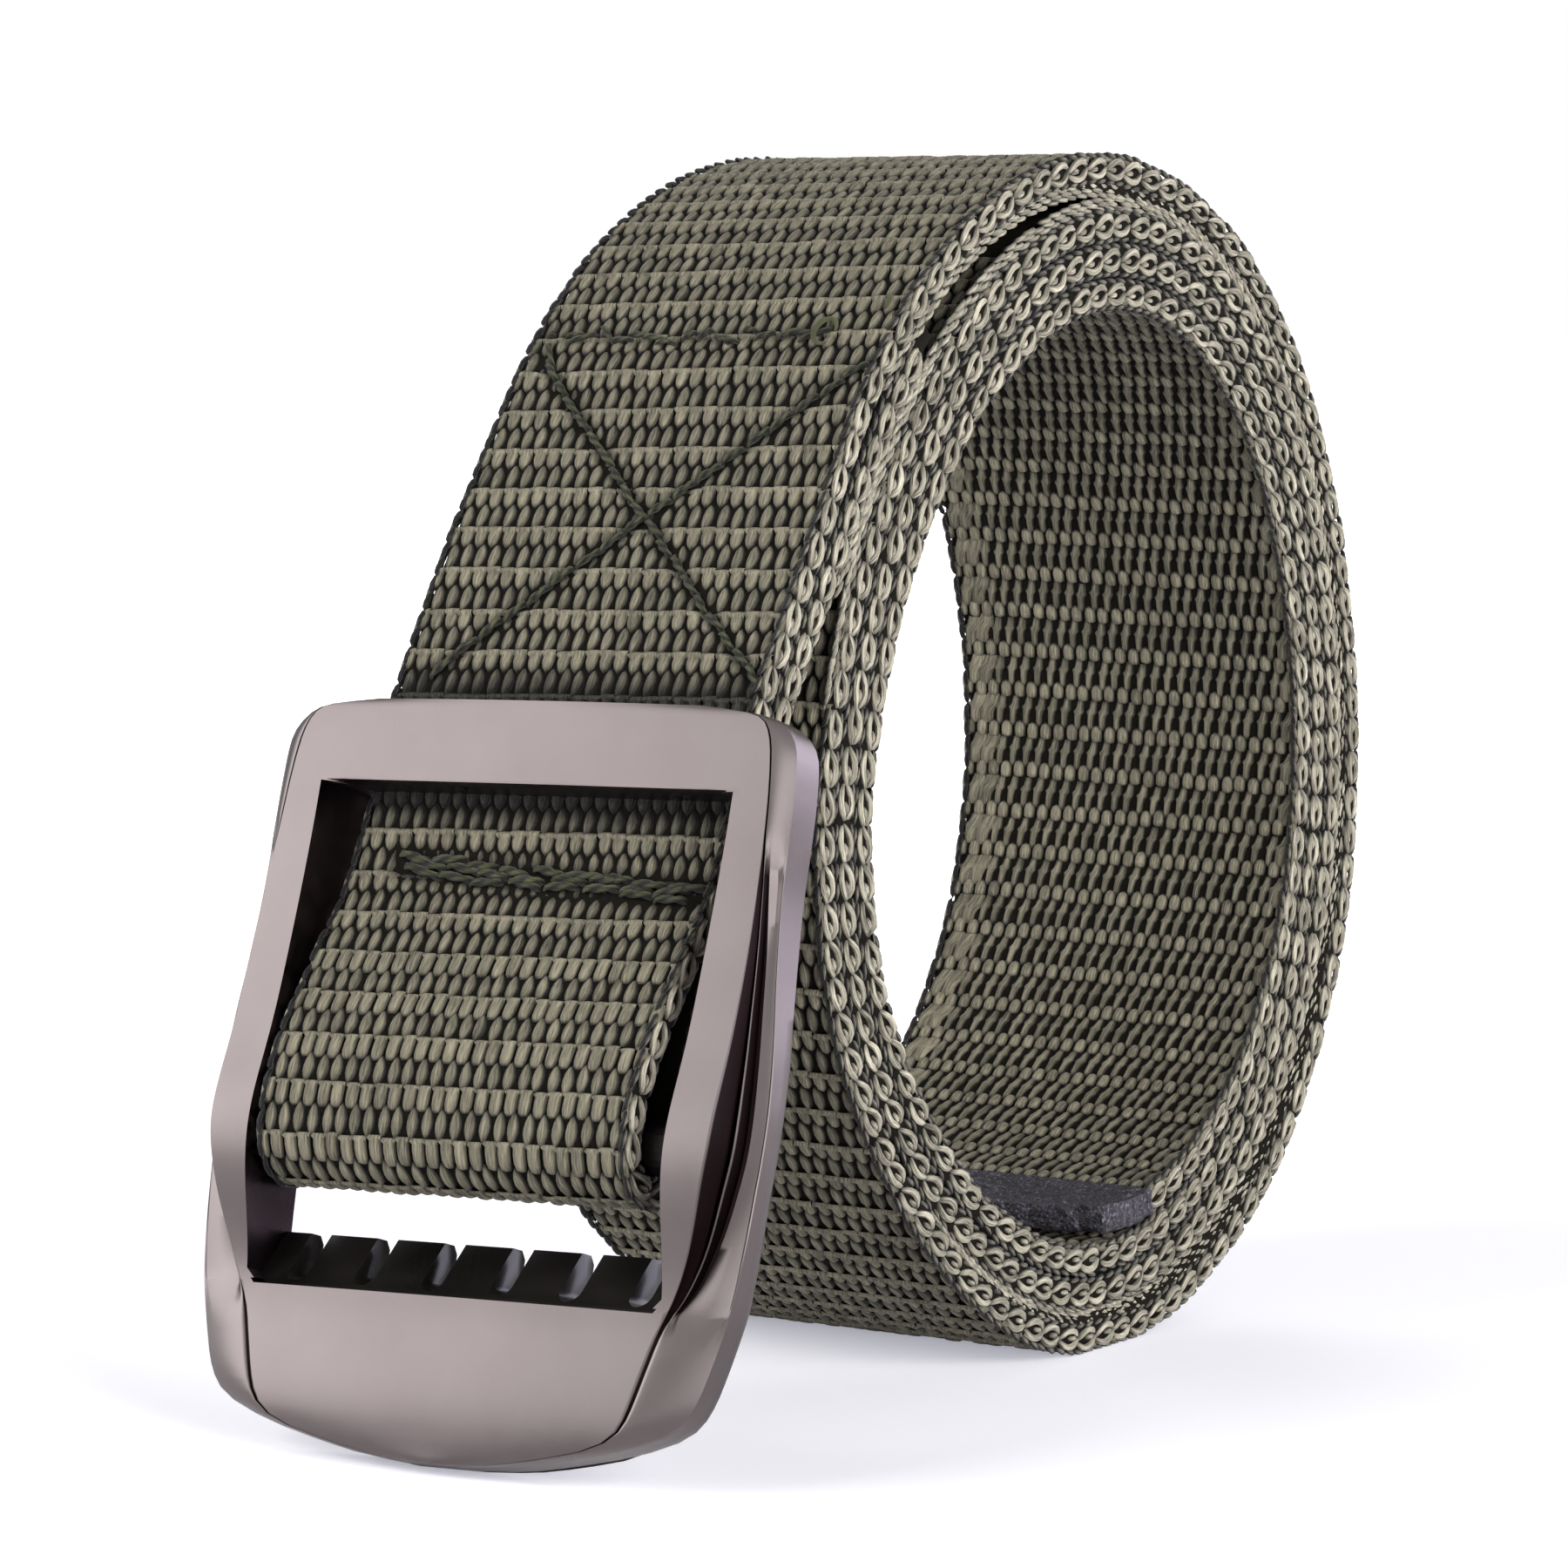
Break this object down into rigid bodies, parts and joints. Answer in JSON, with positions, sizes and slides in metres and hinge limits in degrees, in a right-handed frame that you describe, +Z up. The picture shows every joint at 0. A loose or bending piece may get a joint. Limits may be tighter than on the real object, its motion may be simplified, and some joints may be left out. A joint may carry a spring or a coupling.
{
  "type": "tactical belt",
  "caption": "Coiled woven webbing belt with a cast slide buckle held by a sewn loop on the buckle's crossbar, standing on its edge as for storage.",
  "frame": {"origin": "on the floor under the middle of the whole belt's bounding box", "axes": "+Z up, +X along the coil's axis, to the right for someone who faces the buckle, -Y towards the front where the buckle stands"},
  "size_m": [0.0558, 0.1348, 0.11],
  "materials": {
    "webbing": "coarse ribbed weave, grey-green",
    "sealed_end": "melted and stiffened webbing, near black",
    "gunmetal": "satin gunmetal plating",
    "blackened_steel": "gloss black"
  },
  "bodies": {
    "root": {"webbing_strap": "webbing", "tip_seal": "sealed_end", "buckle_frame": "gunmetal", "crossbar": "blackened_steel"}
  },
  "joints": []
}
